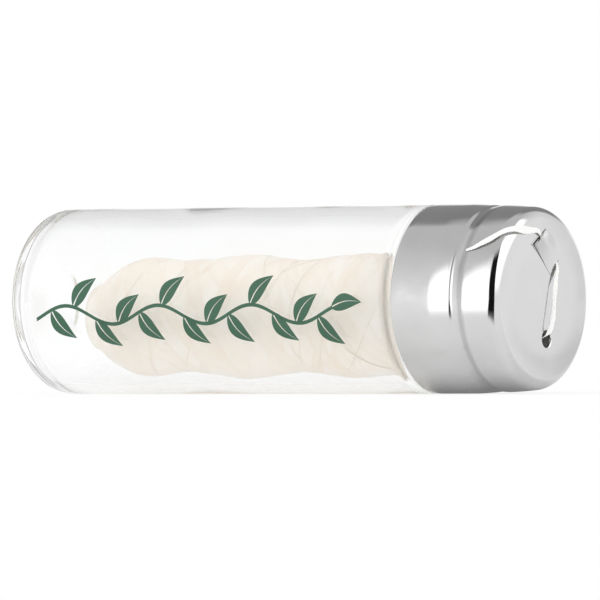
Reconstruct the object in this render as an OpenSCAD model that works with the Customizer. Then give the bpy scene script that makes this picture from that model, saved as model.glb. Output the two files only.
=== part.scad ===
/* [Glass vial] */
// Outside diameter of the vial and of the cap
vial_d = 22; // [20:0.5:30]
// Height of the glass from its base to its lip
glass_h = 66; // [50:1:90]
// Wall thickness of the glass
wall = 1.2; // [0.9:0.1:1.6]
// Thickness of the glass floor
floor_t = 1.6; // [1.2:0.1:2.4]
// Outer radius of the rounded base edge
base_round = 3.2; // [2:0.1:4]
// Width of the flat ring that the vial stands on
foot_w = 2; // [1:0.1:3]
// Height of the pushed-up middle of the base
push_up = 0.6; // [0:0.1:1]
// Height of the neck under the cap
neck_h = 11.9; // [10:0.1:14]
// Step from the barrel's outside in to the neck
neck_step = 2.3; // [2.1:0.1:2.6]
// Wall thickness of the neck
neck_wall = 1; // [0.8:0.1:1.2]
// Radius of the shoulder's outer edge
shoulder_round = 0.5; // [0.3:0.1:0.8]

/* [Cap shell] */
// Thickness of the pressed steel sheet
sheet_t = 0.3; // [0.2:0.05:0.4]
// Radius of the rounded top edge
top_round = 1.5; // [1:0.1:2]
// Height of the band between the groove and the rounded edge
band_h = 3.2; // [2:0.1:4]
// How much smaller the band's radius is than the skirt's
band_step = 0.2; // [0:0.02:0.24]
// How much more the band draws in towards the rounded edge
band_taper = 0.14; // [0:0.02:0.2]
// Width of the crimped groove
groove_w = 1.9; // [1.4:0.1:2.4]
// Depth of the crimped groove, measured from the skirt
groove_depth = 0.28; // [0.26:0.02:0.4]
// How much the skirt draws in before the groove
skirt_roll = 0.14; // [0:0.02:0.2]
// Longest stretch of the skirt that rolls in
skirt_roll_reach = 2.6; // [1.6:0.1:4]
// Height of the hem that is rolled inward at the open edge
hem_h = 0.8; // [0.6:0.1:1.2]
// Gap between the open edge and the shoulder of the glass
skirt_gap = 0.3; // [0.2:0.1:0.6]
// Diameter of the hole that the floss leaves by
hole_d = 1.5; // [1.2:0.1:2]
// Distance of the hole below the middle of the cap
hole_drop = 4.7; // [3:0.1:6]
// Sideways distance of the hole from the middle of the cap
hole_side = 0.4; // [-1:0.1:1]

/* [Cutting tongue] */
// Length of the lanced tongue
tongue_l = 5.6; // [4:0.1:6]
// Width of the lanced tongue
tongue_w = 3.2; // [2.5:0.1:3.6]
// Height of the tongue's raised corner above the cap
tongue_rise = 0.7; // [0.4:0.05:1]
// Distance of the tongue's middle above the middle of the cap
tongue_up = 5.7; // [5:0.1:6]
// Angle of the tongue's length from level
tongue_angle = -42; // [-60:1:-30]
// Width of the cut round the tongue
lance_gap = 0.12; // [0.08:0.02:0.2]

/* [Cap insert and sealing ring] */
// Thickness of the insert's roof
roof_t = 1.25; // [1:0.05:2]
// Room between the neck and the insert for the thread
thread_room = 0.7; // [0.5:0.05:0.9]
// Depth of the pocket under the tongue
pocket_depth = 0.6; // [0.4:0.05:0.7]
// Diameter of the insert's floss hole
insert_hole_d = 2.2; // [1.8:0.1:3]
// Thickness of the sealing ring
ring_t = 0.95; // [0.6:0.05:1.5]
// How far the sealing ring reaches past the lip on each side
ring_lap = 0.5; // [0.2:0.1:0.6]

/* [Floss spool] */
// Free play of the spool along the vial
spool_play = 5; // [2:0.5:8]
// Diameter of the hole through the spool
spool_hole_d = 6.8; // [6.6:0.1:7.2]
// Thickness of one turn of the outer layer
turn_d = 1.2; // [1:0.05:1.25]
// Number of turns in the outer layer
turns = 24; // [16:1:24]

/* [Floss strand] */
// Width of the flat floss strand
strand_w = 0.7; // [0.5:0.05:0.8]
// Thickness of the flat floss strand
strand_t = 0.2; // [0.15:0.05:0.3]

/* [Hidden] */
$fn = 96;

// Small clearances: flat seats, pressed seats and the spool on the wall
seat_gap = 0.05;
crimp_gap = 0.05;
lie_gap = 0.4;
mouth_gap = 0.2;
end_gap = 0.4;

// Radii of the glass
vial_r = vial_d / 2;
inner_r = vial_r - wall;
neck_r = vial_r - neck_step;
mouth_r = neck_r - neck_wall;
lip_round = 0.35;
neck_fillet = 0.6;

// Heights along the axis, from the base up
shelf_z = glass_h - neck_h;
skirt_z = shelf_z + skirt_gap;
ring_z = glass_h + seat_gap;
roof_z = ring_z + ring_t + seat_gap;
plate_z = roof_z + roof_t;
top_z = plate_z + sheet_t;
overall_l = top_z + tongue_rise;

// Places on the cap shell
band_r = vial_r - band_step;
groove_r = vial_r - groove_depth;
groove_top = top_z - top_round - band_h;
groove_low = groove_top - groove_w;
groove_in = 1.05;
groove_out = 0.6;
skirt_roll_h = min(skirt_roll_reach, (groove_low - skirt_z) / 2);
hem_w = 2.4 * sheet_t;
hem_round = 0.15;
hole_at = [hole_side, -hole_drop];

// Places on the insert
insert_r = vial_r - sheet_t - crimp_gap;
insert_bore_r = neck_r + thread_room;
insert_low = skirt_z + hem_h + crimp_gap;
insert_round = top_round - sheet_t;

// The cutting tongue: its middle, and the part of it that runs on into the plate
tongue_mid = [0.2, tongue_up];
tongue_root = 0.25;
tongue_skim = 0.01;
tongue_arch = 1.6;
tongue_cell = 0.4;

// The spool: it lies on the lower wall and reaches from its play at the floor to the foot of the neck
floor_z = push_up + floor_t;
spool_r = mouth_r - mouth_gap;
spool_drop = inner_r - spool_r - lie_gap;
spool_low = floor_z + end_gap + spool_play;
spool_high = shelf_z;
spool_l = spool_high - spool_low;
spool_hole_r = spool_hole_d / 2;
// The outline swells and narrows in waves that are this share of the length
wave_share = 0.345;
wave_top = 0.45;
wave_mean = 0.945;
wave_depth = 0.045;
round_low = 0.145;
round_high = 0.08;
tip_low = 0.55;
tip_high = 0.62;
turn_sink = 0.1;
tip_wall = 0.7;
turn_margin = 1.3;
turn_sides = 6;
turn_rings = 24;
core_steps = 44;

// The strand's route: across the cap, up the cap, and height over the cap's top face.
// It starts in the spool's hole, leaves by the hole, passes under the tongue and ends on the band.
strand_route = [
    [0, 0, -28], [0, 0, -24], [0, 0, -20], [0, 0, -16],
    [0, -0.2, -13], [0.1, -1.2, -10], [0.2, -2.7, -7.2], [0.3, -4, -4.8],
    [0.4, -4.6, -2.8], [0.4, -4.7, -1.2], [0.3, -4.6, -0.2], [0.1, -4.2, 0.5],
    [0.1, -3.4, 0.85], [0.5, -2.2, 0.85], [0.8, -1.1, 0.75], [1.1, 0, 0.65],
    [1.45, 1.3, 0.55], [2.1, 2.6, 0.4], [2.7, 3.7, 0.2], [2.8, 4.6, -0.25],
    [2, 5.3, -0.45], [1, 6, -0.5], [0, 6.8, -0.4], [-1, 7.5, -0.1],
    [-2, 7.9, 0.2], [-3.7, 7.85, 0.22], [-5.4, 7.95, 0.1], [-6.5, 8, -0.26],
    [-7.3, 7.8, -0.84], [-8, 7.35, -1.5], [-8.5, 6.85, -2.2], [-8.9, 6.4, -3],
    [-9.25, 5.9, -3.9], [-9.4, 5.6, -4.8]
];
strand_steps = 2;
strand_sides = 8;
// The flat side turns from the plate to the band between these two distances from the middle
plate_reach = 9;
band_reach = 10.8;
plate_depth = 1;

function unit(v) = v / norm(v);
function mix(a, b, t) = a + (b - a) * t;
function clamp(t) = max(0, min(1, t));
function half_wave(t) = (1 - cos(180 * t)) / 2;

// Points of an arc round c from angle a0 to a1
function arc(c, r, a0, a1, steps = 8) = [
    for (i = [0 : steps])
        let (a = mix(a0, a1, i / steps))
        c + r * [cos(a), sin(a)]
];

// Lays an upright piece on its side: its axis runs along X and the cap points to +X
module laid() {
    translate([-overall_l / 2, 0, vial_r])
        rotate([90, 0, 90])
            children();
}

// Faces of a tube of rings, with flat ends
function tube_faces(rings, sides) = concat(
    [[for (j = [0 : sides - 1]) j]],
    [for (i = [0 : rings - 2], j = [0 : sides - 1])
        let (k = (j + 1) % sides, a = i * sides, b = (i + 1) * sides)
        each [[a + j, b + k, a + k], [a + j, b + j, b + k]]],
    [[for (j = [sides - 1 : -1 : 0]) (rings - 1) * sides + j]]
);

// Outer line of the glass, from the middle of the base up to the lip
function glass_outside() = concat(
    [[0, push_up], [vial_r - base_round - foot_w - push_up * 3, push_up]],
    [[vial_r - base_round - foot_w, 0]],
    arc([vial_r - base_round, base_round], base_round, -90, 0),
    arc([vial_r - shoulder_round, shelf_z - shoulder_round], shoulder_round, 0, 90, 4),
    arc([neck_r + neck_fillet, shelf_z + neck_fillet], neck_fillet, 270, 180, 4),
    arc([neck_r - lip_round, glass_h - lip_round], lip_round, 0, 90, 4)
);

// Inner line of the glass, from the lip down to the middle of the floor
function glass_inside() =
    let (corner = base_round - wall * 0.6, bend = (inner_r - mouth_r) / 2)
    concat(
        arc([mouth_r + lip_round, glass_h - lip_round], lip_round, 90, 180, 4),
        arc([mouth_r + bend, shelf_z + wall - bend], bend, 180, 270, 5),
        arc([inner_r - bend, shelf_z + wall - 3 * bend], bend, 90, 0, 5),
        arc([inner_r - corner, floor_t + corner], corner, 0, -90),
        [[vial_r - base_round - foot_w - push_up * 3, floor_z], [0, floor_z]]
    );

module glass_vial() {
    color([0.86, 0.92, 0.93, 0.4])
        laid()
            rotate_extrude()
                polygon(concat(glass_outside(), glass_inside()));
}

// Side of the shell at a depth below its outer face, from the skirt's roll-in up to the rounded edge
function shell_side(depth) = concat(
    [for (t = [0 : 0.2 : 0.8])
        [vial_r - skirt_roll * pow(t, 1.5) - depth, groove_low - skirt_roll_h * (1 - t)]],
    [for (t = [0 : 0.2 : 1])
        [mix(vial_r - skirt_roll, groove_r, half_wave(t)) - depth, groove_low + groove_in * t]],
    [for (t = [0 : 0.25 : 1])
        [mix(groove_r, band_r, half_wave(t)) - depth, groove_top + groove_out * (t - 0.5)]],
    [for (t = [0.4 : 0.3 : 0.7])
        [band_r - band_taper * t * t - depth, mix(groove_top + groove_out / 2, top_z - top_round, t)]]
);

// Side and top of the shell, from the open edge to the middle
function shell_line(depth) = concat(
    [[vial_r - depth, skirt_z + hem_round]],
    shell_side(depth),
    arc([band_r - band_taper - top_round, top_z - top_round], top_round - depth, 0, 90, 8),
    [[0, top_z - depth]]
);

function reversed(list) = [for (i = [len(list) - 1 : -1 : 0]) list[i]];

// The hem at the open edge: the sheet rolled inward and flattened
module hem_section() {
    translate([vial_r - hem_w, skirt_z])
        polygon(concat(
            arc([hem_round, hem_round], hem_round, 180, 270, 4),
            arc([hem_w - hem_round, hem_round], hem_round, 270, 360, 4),
            [[hem_w, hem_h], [hem_w - sheet_t, hem_h]],
            arc([hem_round, hem_h - hem_round], hem_round, 90, 180, 4)
        ));
}

// A point of the tongue: along its length from the raised end, and across from its free side
function tongue_point(l, w) =
    let (a = (l - 0.5) * tongue_l, b = (w - 0.5) * tongue_w)
    tongue_mid + [
        a * cos(tongue_angle) - b * sin(tongue_angle),
        a * sin(tongue_angle) + b * cos(tongue_angle)
    ];

// The tongue arches up from its root and lifts towards its raised end
function tongue_lift(l, w) = tongue_rise * pow(1 - l, 2) * sin(90 * clamp(tongue_arch * (1 - w)));

// The window that the tongue is cut free from, wider by a margin on its three cut sides
module tongue_window(margin) {
    l = margin / tongue_l;
    w = margin / tongue_w;
    polygon([
        tongue_point(-l, -w),
        tongue_point(1 + l, -w),
        tongue_point(1 + l, 1),
        tongue_point(-l, 1)
    ]);
}

// The tongue itself: a thin sheet that bends up from its root
module tongue() {
    rows = ceil(tongue_l / tongue_cell);
    free_cols = ceil(tongue_w / tongue_cell);
    cols = free_cols + 1;
    widths = [for (j = [0 : free_cols]) j / free_cols, 1 + tongue_root / tongue_w];
    skin = [for (depth = [tongue_skim, sheet_t - tongue_skim], i = [0 : rows], w = widths)
        let (l = i / rows, p = tongue_point(l, w))
        [p[0], p[1], top_z - depth + tongue_lift(l, w)]];
    row = cols + 1;
    under = (rows + 1) * row;
    sheet = [for (i = [0 : rows - 1], j = [0 : cols - 1])
        let (a = i * row + j, b = a + row)
        each [[a, a + 1, b], [a + 1, b + 1, b]]];
    rim = concat(
        [for (j = [0 : cols - 1]) [j, j + 1]],
        [for (i = [0 : rows - 1]) [i * row + cols, (i + 1) * row + cols]],
        [for (j = [cols - 1 : -1 : 0]) [rows * row + j + 1, rows * row + j]],
        [for (i = [rows - 1 : -1 : 0]) [(i + 1) * row, i * row]]
    );
    polyhedron(skin, concat(
        sheet,
        [for (f = sheet) [f[0] + under, f[2] + under, f[1] + under]],
        [for (e = rim) each [[e[0], e[1] + under, e[1]], [e[0], e[0] + under, e[1] + under]]]
    ));
}

module cap_shell() {
    color([0.8, 0.81, 0.82])
        laid()
            union() {
                difference() {
                    rotate_extrude() {
                        union() {
                            polygon(concat(shell_line(0), reversed(shell_line(sheet_t))));
                            hem_section();
                        }
                    }
                    translate([hole_at[0], hole_at[1], plate_z - sheet_t])
                        cylinder(h = 3 * sheet_t, d = hole_d);
                    translate([0, 0, plate_z - sheet_t])
                        linear_extrude(3 * sheet_t)
                            tongue_window(lance_gap);
                }
                tongue();
            }
}

// Outer line of the insert, which follows the inside of the shell
function insert_outside() = concat(
    [[insert_r, insert_low]],
    shell_side(sheet_t + crimp_gap),
    arc([insert_r - band_step - band_taper - insert_round, plate_z - insert_round], insert_round, 0, 90, 6)
);

module cap_insert() {
    color([0.93, 0.93, 0.9])
        laid()
            difference() {
                rotate_extrude()
                    polygon(concat(
                        insert_outside(),
                        [[0, plate_z], [0, roof_z], [insert_bore_r, roof_z], [insert_bore_r, insert_low]]
                    ));
                translate([hole_at[0], hole_at[1], roof_z - roof_t])
                    cylinder(h = 3 * roof_t, d = insert_hole_d);
                translate([0, 0, plate_z - pocket_depth])
                    linear_extrude(2 * pocket_depth)
                        tongue_window(3 * lance_gap);
            }
}

module sealing_ring() {
    color([0.9, 0.89, 0.84])
        laid()
            translate([0, 0, ring_z])
                difference() {
                    cylinder(h = ring_t, r = min(neck_r + ring_lap, insert_bore_r - crimp_gap));
                    translate([0, 0, -ring_t])
                        cylinder(h = 3 * ring_t, r = mouth_r - ring_lap);
                }
}

// Radius of the wound spool at a share t of its length
function spool_radius(t) =
    let (
        low = clamp(t / round_low),
        high = clamp((1 - t) / round_high),
        swell = wave_mean + wave_depth * cos(360 * (t - wave_top) / wave_share)
    )
    spool_r * swell
        * sqrt(1 - pow(1 - low, 2) * (1 - pow(tip_low, 2)))
        * sqrt(1 - pow(1 - high, 2) * (1 - pow(tip_high, 2)));

// The spool's own axis, which lies below the vial's
module on_spool_axis() {
    translate([0, -spool_drop, spool_low])
        children();
}

module floss_core() {
    color([0.93, 0.89, 0.8])
        laid()
            on_spool_axis()
                difference() {
                    rotate_extrude()
                        polygon(concat(
                            [[0, 0]],
                            [for (i = [0 : core_steps])
                                let (t = i / core_steps)
                                [max(spool_radius(t) - turn_d + turn_sink, spool_hole_r + tip_wall), t * spool_l]],
                            [[0, spool_l]]
                        ));
                    translate([0, 0, -spool_l / 2])
                        cylinder(h = 2 * spool_l, r = spool_hole_r);
                }
}

// Middle line of the outer layer: one helix that follows the spool's outline
turn_count = turns * turn_rings;
function winding_point(i) =
    let (
        z = mix(turn_margin, spool_l - turn_margin, i / turn_count),
        r = spool_radius(z / spool_l) - turn_d / 2,
        a = 360 * i / turn_rings
    )
    [r * cos(a), r * sin(a), z];

// Least distance between turns, measured on the points, less the thickness of a turn
function winding_gap(path) = min([
    for (i = [0 : len(path) - 1], k = [turn_rings / 2 : 3 * turn_rings / 2])
        if (i + k < len(path))
            norm(path[i + k] - path[i])
]) - turn_d;

// The ends run straight on for one thickness
function straight_ends(path, reach) =
    let (n = len(path) - 1)
    concat(
        [path[0] + reach * unit(path[0] - path[1])],
        path,
        [path[n] + reach * unit(path[n] - path[n - 1])]
    );

function path_tangent(path, i) =
    unit(path[min(i + 1, len(path) - 1)] - path[max(i - 1, 0)]);

// One ring of a tube: flat side out, with its own width and thickness
function tube_ring(p, tangent, facing, width, thickness, sides) =
    let (
        out = unit(facing - (facing * tangent) * tangent),
        side = cross(tangent, out)
    )
    [for (j = [0 : sides - 1])
        let (a = 360 * (j + 0.5) / sides)
        p + out * thickness / 2 * cos(a) + side * width / 2 * sin(a)];

module floss_winding() {
    path = [for (i = [0 : turn_count]) winding_point(i)];
    echo(str("least gap between turns, mm: ", winding_gap(path)));
    line = straight_ends(path, turn_d);
    rings = [for (i = [0 : len(line) - 1])
        let (p = line[i])
        tube_ring(p, path_tangent(line, i), [p[0], p[1], 0], turn_d, turn_d, turn_sides)];
    color([0.95, 0.92, 0.84])
        laid()
            on_spool_axis()
                polyhedron([for (ring = rings) each ring], tube_faces(len(rings), turn_sides));
}

// A point of a smooth curve through the route
function curve_point(path, i, t) =
    let (
        n = len(path) - 1,
        a = path[max(i - 1, 0)],
        b = path[i],
        c = path[min(i + 1, n)],
        d = path[min(i + 2, n)]
    )
    0.5 * (2 * b + (c - a) * t + (2 * a - 5 * b + 4 * c - d) * t * t
        + (3 * b - a - 3 * c + d) * t * t * t);

// Which way the strand's flat side faces: off the plate, then off the band
function strand_facing(p) =
    let (
        r = norm([p[0], p[1]]),
        over = clamp((r - plate_reach) / (band_reach - plate_reach))
    )
    r < plate_reach && p[2] < -plate_depth
        ? [0, -1, 0]
        : [0, 0, 1 - over] + over * [p[0], p[1], 0] / max(r, 1);

module floss_strand() {
    last = len(strand_route) - 1;
    path = concat(
        [for (i = [0 : last - 1], k = [0 : strand_steps - 1]) curve_point(strand_route, i, k / strand_steps)],
        [strand_route[last]]
    );
    rings = [for (i = [0 : len(path) - 1])
        tube_ring(path[i], path_tangent(path, i), strand_facing(path[i]), strand_w, strand_t, strand_sides)];
    color([0.97, 0.97, 0.95])
        laid()
            translate([0, 0, top_z])
                polyhedron([for (ring = rings) each ring], tube_faces(len(rings), strand_sides));
}

glass_vial();
cap_shell();
cap_insert();
sealing_ring();
floss_core();
floss_winding();
floss_strand();
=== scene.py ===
"""A glass vial of silk dental floss with a pressed steel cap, lying on a pale floor."""
import math

import bmesh
import bpy
import numpy as np
from mathutils import Matrix, Vector


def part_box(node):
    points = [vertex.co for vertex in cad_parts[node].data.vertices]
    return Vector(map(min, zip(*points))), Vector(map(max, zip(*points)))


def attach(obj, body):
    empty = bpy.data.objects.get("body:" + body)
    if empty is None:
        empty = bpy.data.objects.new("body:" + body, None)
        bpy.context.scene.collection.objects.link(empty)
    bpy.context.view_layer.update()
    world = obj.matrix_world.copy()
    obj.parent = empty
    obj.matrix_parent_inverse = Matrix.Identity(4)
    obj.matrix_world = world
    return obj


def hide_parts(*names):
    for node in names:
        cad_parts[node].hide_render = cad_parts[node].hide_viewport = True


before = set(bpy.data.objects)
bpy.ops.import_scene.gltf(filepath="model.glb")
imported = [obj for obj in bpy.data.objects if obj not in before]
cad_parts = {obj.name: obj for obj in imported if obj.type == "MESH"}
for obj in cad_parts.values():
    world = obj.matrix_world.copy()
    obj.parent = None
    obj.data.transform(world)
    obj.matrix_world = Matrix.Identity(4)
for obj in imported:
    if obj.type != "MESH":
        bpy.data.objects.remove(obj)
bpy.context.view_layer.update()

MM = 0.001
TINY = 1e-9

# Sizes of the frame, in millimetres. The vial lies along X, and lengths count from its base towards the cap.
VIAL_LOW, VIAL_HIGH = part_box("glass_vial")
SHELL_LOW, SHELL_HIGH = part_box("cap_shell")
CORE_LOW, CORE_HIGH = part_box("floss_core")
WINDING_LOW, WINDING_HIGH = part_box("floss_winding")
BASE_X = VIAL_LOW.x / MM
VIAL_R = (VIAL_HIGH.y - VIAL_LOW.y) / 2 / MM
AXIS_Z = (VIAL_HIGH.z + VIAL_LOW.z) / 2 / MM
GLASS_H = (VIAL_HIGH.x - VIAL_LOW.x) / MM
# How far the solid's tongue, which ends the shell's box, stands over the plate
TONGUE_RISE = 0.7
CAP_TOP = (SHELL_HIGH.x - VIAL_LOW.x) / MM - TONGUE_RISE
SKIRT_END = (SHELL_LOW.x - VIAL_LOW.x) / MM
SPOOL_LOW = (CORE_LOW.x - VIAL_LOW.x) / MM
SPOOL_HIGH = (CORE_HIGH.x - VIAL_LOW.x) / MM
SPOOL_DROP = AXIS_Z - (WINDING_HIGH.z + WINDING_LOW.z) / 2 / MM

rng = np.random.default_rng(seed=7)


# Shapes

def place(along, across, up):
    """A point of the frame, in metres, from millimetres along the vial's axis, across it and up from it."""
    return np.stack(np.broadcast_arrays(BASE_X + along, across, AXIS_Z + up), -1) * MM


def smooth(x):
    """From 0 at 0 to 1 at 1, level at both ends."""
    x = np.clip(x, 0, 1)
    return x * x * (3 - 2 * x)


def half_wave(t):
    """From 0 at 0 to 1 at 1 by half a cosine wave."""
    return (1 - math.cos(math.pi * t)) / 2


def unit(v):
    return v / np.maximum(np.linalg.norm(v, axis=-1, keepdims=True), TINY)


def arc(along, radius, r, start, end, steps):
    """Points (along, radius) of an arc. Angles are in degrees from the radial direction towards +along."""
    return [
        (along + r * math.sin(math.radians(a)), radius + r * math.cos(math.radians(a)))
        for a in np.linspace(start, end, steps + 1)
    ]


def line(a, b, steps):
    """Points from a up to, but without, b."""
    return [tuple(np.array(a) + (np.array(b) - np.array(a)) * t) for t in np.arange(steps) / steps]


def circle(middle, r, sides):
    """Points (across, up) of a circle on the cap's top."""
    angles = np.linspace(0, 2 * math.pi, sides, endpoint=False)
    return [(middle[0] + r * math.cos(a), middle[1] + r * math.sin(a)) for a in angles]


def mesh_object(name, points, faces):
    mesh = bpy.data.meshes.new(name)
    mesh.from_pydata([tuple(p) for p in points], [], faces)
    mesh.validate()
    mesh.polygons.foreach_set("use_smooth", [True] * len(mesh.polygons))
    piece = bpy.data.objects.new(name, mesh)
    bpy.context.scene.collection.objects.link(piece)
    return piece


def lathe(name, outline, sides, swell=None, closed=True):
    """Turns (along, radius) points round the axis. swell(along, radius, angles, step) adds to the radius."""
    angles = np.linspace(0, 2 * math.pi, sides, endpoint=False)
    points, rings = [], []
    for step, (along, radius) in enumerate(outline):
        if radius < TINY:
            rings.append([len(points)])
            points.append(place(along, 0.0, 0.0))
            continue
        r = radius + (swell(along, radius, angles, step) if swell else 0 * angles)
        rings.append(list(range(len(points), len(points) + sides)))
        points.extend(place(along, r * np.cos(angles), r * np.sin(angles)))
    faces = []
    for a, b in zip(rings, rings[1:] + rings[:1] if closed else rings[1:]):
        for j in range(sides):
            k = (j + 1) % sides
            if len(a) == 1 and len(b) == 1:
                break
            if len(a) == 1:
                faces.append((a[0], b[k], b[j]))
            elif len(b) == 1:
                faces.append((a[j], a[k], b[0]))
            else:
                faces.append((a[j], a[k], b[k], b[j]))
    return mesh_object(name, points, faces)


def ring_faces(count, sides, closed):
    """Faces between rings of points that follow one another, and back to the first ring if closed."""
    faces = []
    for i in range(count if closed else count - 1):
        a, b = i * sides, (i + 1) % count * sides
        faces += [(a + j, b + j, b + (j + 1) % sides, a + (j + 1) % sides) for j in range(sides)]
    return faces


def ribbon(path, facing, widths, thicknesses, sides=12):
    """Rings of a flat tube along a path, and its faces."""
    tangents = unit(np.gradient(path, axis=0))
    out = unit(facing - (facing * tangents).sum(-1, keepdims=True) * tangents)
    across = np.cross(tangents, out)
    turn = 2 * math.pi * (np.arange(sides) + 0.5) / sides
    rings = (
        path[:, None]
        + out[:, None] * (thicknesses[:, None, None] / 2 * np.cos(turn)[None, :, None])
        + across[:, None] * (widths[:, None, None] / 2 * np.sin(turn)[None, :, None])
    )
    faces = ring_faces(len(path), sides, closed=False)
    faces += [tuple(range(sides)), tuple((len(path) - 1) * sides + j for j in reversed(range(sides)))]
    return rings.reshape(-1, 3), faces


def outward(piece):
    """Turns every face outward."""
    mesh = bmesh.new()
    mesh.from_mesh(piece.data)
    bmesh.ops.recalc_face_normals(mesh, faces=mesh.faces)
    mesh.to_mesh(piece.data)
    mesh.free()
    return piece


def cut(piece, cutter):
    """Takes the cutter away from the piece."""
    modifier = piece.modifiers.new("cut", "BOOLEAN")
    modifier.operation = "DIFFERENCE"
    modifier.solver = "EXACT"
    modifier.object = outward(cutter)
    evaluated = piece.evaluated_get(bpy.context.evaluated_depsgraph_get())
    mesh = bpy.data.meshes.new_from_object(evaluated)
    piece.modifiers.clear()
    piece.data = mesh
    bpy.data.objects.remove(cutter)


def join(pieces, name):
    """Makes one piece of several."""
    points, faces = [], []
    for piece in pieces:
        start = len(points)
        points += [tuple(v.co) for v in piece.data.vertices]
        faces += [tuple(start + k for k in p.vertices) for p in piece.data.polygons]
    joined = mesh_object(name, points, faces)
    for piece in pieces:
        bpy.data.objects.remove(piece)
    return joined


def dress(piece, material, body):
    piece.data.materials.clear()
    piece.data.materials.append(material)
    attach(piece, body)


# Nodes

WHITE = (1.0, 1.0, 1.0, 1.0)


def add(tree, kind, values=None, **settings):
    """A shader node whose inputs are set to numbers or linked to sockets."""
    node = tree.nodes.new(kind)
    for key, value in settings.items():
        setattr(node, key, value)
    for key, value in (values or {}).items():
        if isinstance(value, bpy.types.NodeSocket):
            tree.links.new(value, node.inputs[key])
        else:
            node.inputs[key].default_value = value
    return node


def math_node(tree, operation, a, b=0.0):
    return add(tree, "ShaderNodeMath", {0: a, 1: b}, operation=operation).outputs[0]


def vector_node(tree, operation, a, b=(0, 0, 0)):
    return add(tree, "ShaderNodeVectorMath", {0: a, 1: b}, operation=operation).outputs[0]


def vector_length(tree, vector):
    return add(tree, "ShaderNodeVectorMath", {0: vector}, operation="LENGTH").outputs["Value"]


def axes_of(tree, vector):
    return add(tree, "ShaderNodeSeparateXYZ", {0: vector}).outputs


def mix_levels(tree, factor, a, b):
    return add(tree, "ShaderNodeMix", {"Factor": factor, "A": a, "B": b}).outputs[0]


def mix_shaders(tree, factor, a, b):
    return add(tree, "ShaderNodeMixShader", {0: factor, 1: a, 2: b}).outputs[0]


def blend_colours(tree, factor, a, b):
    """Inputs 6 and 7 and output 2 are the mix node's colours."""
    return add(tree, "ShaderNodeMix", {"Factor": factor, 6: a, 7: b}, data_type="RGBA").outputs[2]


def map_range(tree, value, low, high, to_low=0.0, to_high=1.0, kind="LINEAR"):
    values = {"Value": value, "From Min": low, "From Max": high, "To Min": to_low, "To Max": to_high}
    return add(tree, "ShaderNodeMapRange", values, interpolation_type=kind).outputs[0]


def noise(tree, vector, scale, detail=3.0, roughness=0.5):
    values = {"Vector": vector, "Scale": scale, "Detail": detail, "Roughness": roughness}
    return add(tree, "ShaderNodeTexNoise", values).outputs["Fac"]


def stretched(tree, vector, scale):
    return vector_node(tree, "MULTIPLY", vector, scale)


def bumped(tree, height, distance, normal=None):
    values = {"Height": height, "Distance": distance, "Strength": 1.0}
    if normal:
        values["Normal"] = normal
    return add(tree, "ShaderNodeBump", values).outputs["Normal"]


def colour(red, green, blue):
    """A colour from its screen (sRGB) values, 0 to 255."""
    def linear(c):
        c /= 255
        return c / 12.92 if c <= 0.04045 else ((c + 0.055) / 1.055) ** 2.4
    return (linear(red), linear(green), linear(blue), 1.0)


def new_material(name):
    """A new material, its node tree and the place of the shaded point, which rides with its piece."""
    material = bpy.data.materials.new(name)
    material.use_nodes = True
    tree = material.node_tree
    tree.nodes.clear()
    position = add(tree, "ShaderNodeTexCoord").outputs["Object"]
    return material, tree, position


def principled(tree, values):
    return add(tree, "ShaderNodeBsdfPrincipled", values).outputs[0]


def show(tree, surface, output="ShaderNodeOutputMaterial"):
    """Makes this shader the surface."""
    out = tree.nodes.new(output)
    tree.links.new(surface, out.inputs["Surface"])


# Camera

# The camera looks level at its aim, from this far round towards the cap. Lengths are metres.
CAMERA_AZIMUTH = math.radians(32.7)
CAMERA_ROLL = math.radians(-0.39)
CAMERA_DISTANCE = 1.15
CAMERA_CLIP = (0.01, 20.0)
AIM = Vector((0.0002, 0.00025, 0.011))
# Pixels to a metre at the aim, pixels across the picture, and the sensor's width in millimetres
CAMERA_SCALE = 8520.0
PICTURE_SIDE = 600
SENSOR = 36.0


def make_camera():
    data = bpy.data.cameras.new("camera")
    data.sensor_width = SENSOR
    data.lens = SENSOR * CAMERA_DISTANCE * CAMERA_SCALE / PICTURE_SIDE
    data.clip_start, data.clip_end = CAMERA_CLIP
    camera = bpy.data.objects.new("camera", data)
    bpy.context.scene.collection.objects.link(camera)
    away = Vector((math.sin(CAMERA_AZIMUTH), -math.cos(CAMERA_AZIMUTH), 0))
    turn = away.to_track_quat("Z", "Y").to_matrix().to_4x4() @ Matrix.Rotation(CAMERA_ROLL, 4, "Z")
    camera.matrix_world = Matrix.Translation(AIM + away * CAMERA_DISTANCE) @ turn
    bpy.context.scene.camera = camera


make_camera()


# The studio's light by direction: pale all round, with soft boxes and dark gaps for metal to show

# A panel is its azimuth, half width and softness across; its elevation, half height and softness up, all in
# degrees; and its level. Azimuth 0 is -Y and 90 is +X. A later panel covers the ones before it.
PANELS = [
    (-13, 16.5, 6, 4, 30, 44, 2.1),
    (34, 25, 5, 14, 38, 16, 0.01),
    (-172, 24, 12, 0, 12, 10, 1.15),
]
# Panels that only the room above has
SKY_PANELS = [
    (-150, 42, 12, 36, 22, 14, 0.3),
    (-80, 26, 22, 8, 26, 16, 0.6),
    (86, 25, 6, 34, 26, 16, 1.9),
    (104, 34, 8, 30, 20, 14, 1.9),
    (158, 7, 8, 0, 25, 20, 0.92),
]
# Panels that only the table's light has
TABLE_PANELS = [
    (-100, 20, 60, 50, 50, 10, 0.9),
    (160, 15, 20, 25, 20, 20, 0.78),
]
# The level at the horizon, the room's level overhead, and the elevation where that level is reached
STUDIO_BASE = 1.08
STUDIO_TOP = 0.68
OVERHEAD = 55.0
# The even level that lights dull surfaces, and how even the studio looks through glass
FILL_LEVEL = 1.0
CALM = 0.82


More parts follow.
